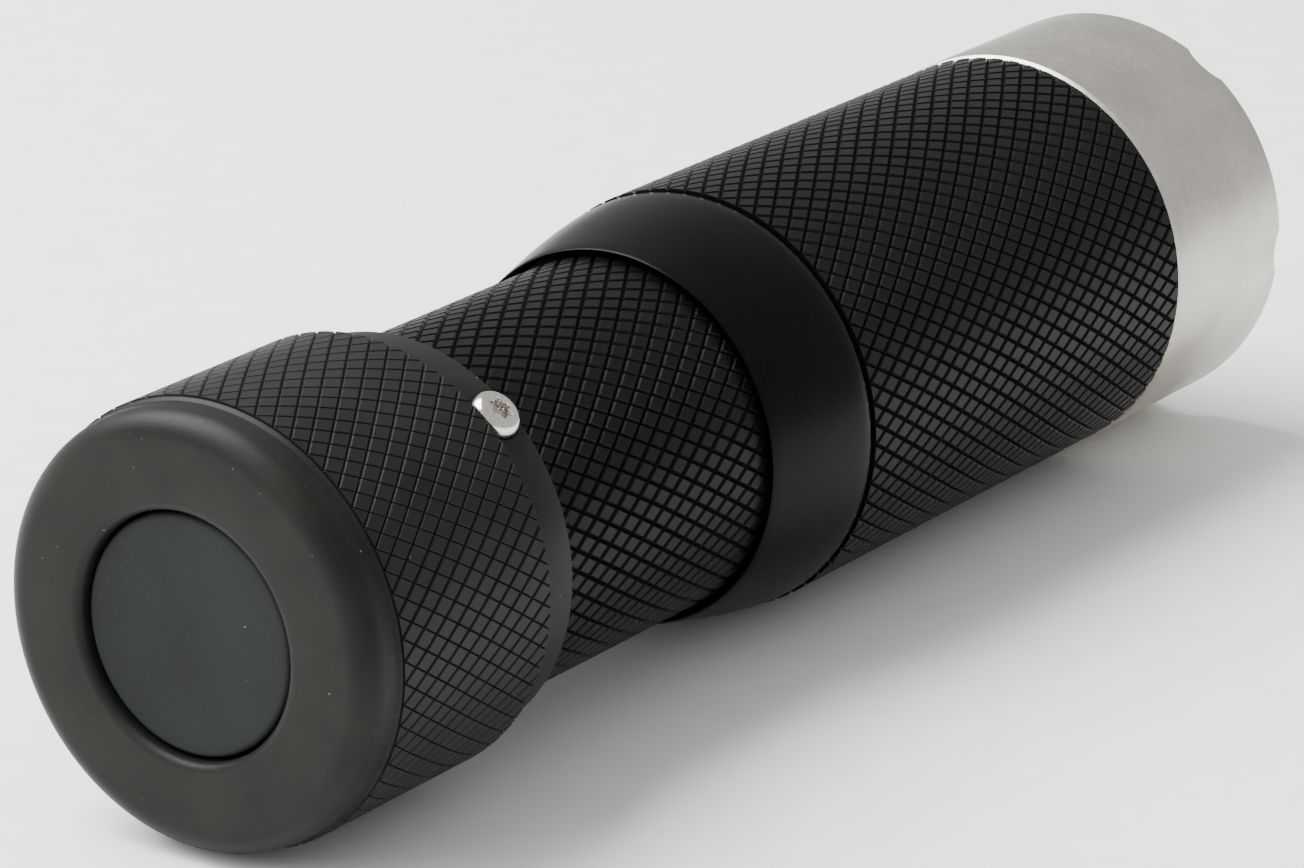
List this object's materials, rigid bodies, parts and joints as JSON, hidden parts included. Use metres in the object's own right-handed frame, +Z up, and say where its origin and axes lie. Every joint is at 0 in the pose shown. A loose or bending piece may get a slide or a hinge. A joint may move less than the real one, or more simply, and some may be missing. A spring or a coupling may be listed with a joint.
{
  "type": "flashlight",
  "caption": "Compact black pocket flashlight with a rotary tail knob, recessed click button, diamond-knurled grips and a scalloped steel bezel.",
  "frame": {"origin": "on the surface it lies on, under the middle of its length", "axes": "+Y along the beam from the tail to the bezel, +Z up, +X to the right seen from the tail"},
  "size_m": [0.0254, 0.095, 0.0254],
  "materials": {
    "black_anodise": "hard anodised, matt",
    "bright_steel": "polished stainless",
    "button_rubber": "matt",
    "brass": "machined",
    "seal_rubber": "matt",
    "circuit_board": "solder mask",
    "black_plastic": "moulded",
    "white_plastic": "moulded",
    "cell_wrap": "shrink wrap",
    "ferrite": "sintered",
    "capacitor_tan": "sintered",
    "bare_aluminium": "machined",
    "white_board": "white solder mask",
    "white_ceramic": "fired",
    "led_silicone": "clear over phosphor",
    "lead_red": "insulation",
    "lead_black": "insulation",
    "mirror": "vacuum metallised",
    "window_glass": "polished",
    "stainless": "satin turned"
  },
  "bodies": {
    "tube": {"battery_tube": "black_anodise", "knob_o_ring": "seal_rubber", "head_o_ring": "seal_rubber", "rotary_board": "circuit_board", "switch_housing": "black_plastic", "switch_return_spring": "bright_steel", "switch_board": "circuit_board", "switch_retaining_ring": "brass", "tail_contact_spring": "bright_steel"},
    "knob": {"rotary_knob": "black_anodise", "stop_screw": "bright_steel", "button_retaining_ring": "black_anodise", "rotary_wiper": "brass"},
    "button": {"tail_button": "button_rubber"},
    "plunger": {"switch_plunger": "black_plastic"},
    "cell": {"battery_cell": "cell_wrap", "battery_positive_cap": "bright_steel"},
    "head": {"head_shell": "black_anodise", "contact_insulator": "white_plastic", "positive_contact": "brass", "driver_board": "circuit_board", "driver_inductor": "ferrite", "driver_chip": "black_plastic", "driver_capacitor": "capacitor_tan", "heat_sink_core": "bare_aluminium", "led_board": "white_board", "led_housing": "white_ceramic", "led_dome": "led_silicone", "led_lead_positive": "lead_red", "led_lead_negative": "lead_black", "centring_ring": "black_plastic", "reflector": "mirror", "window": "window_glass", "window_o_ring": "seal_rubber", "bezel": "stainless"}
  },
  "joints": [
    {"name": "knob_turn", "type": "hinge", "parent": "tube", "child": "knob", "pos_m": [0, 0, 0.01269], "axis": [0, 1, 0], "range_deg": [0, 270]},
    {"name": "button_press", "type": "slide", "parent": "knob", "child": "button", "axis": [0, 1, 0], "range_m": [0, 0.0015], "stiffness_N_per_m": 800},
    {"name": "plunger_press", "type": "slide", "parent": "tube", "child": "plunger", "axis": [0, 1, 0], "range_m": [-0.0001, 0.0016], "deforming": ["switch_return_spring"]},
    {"name": "cell_slide", "type": "slide", "parent": "tube", "child": "cell", "axis": [0, 1, 0], "range_m": [0, 0.005], "deforming": ["tail_contact_spring"]},
    {"name": "head_turn", "type": "hinge", "parent": "cell", "child": "head", "pos_m": [0, 0, 0.01269], "axis": [0, 1, 0], "range_deg": [-6, 1806]}
  ],
  "couplings": [
    {"joint": "plunger_press", "follows": "button_press", "ratio": 1},
    {"joint": "head_turn", "follows": "cell_slide", "rad_per_m": 6283.2}
  ]
}
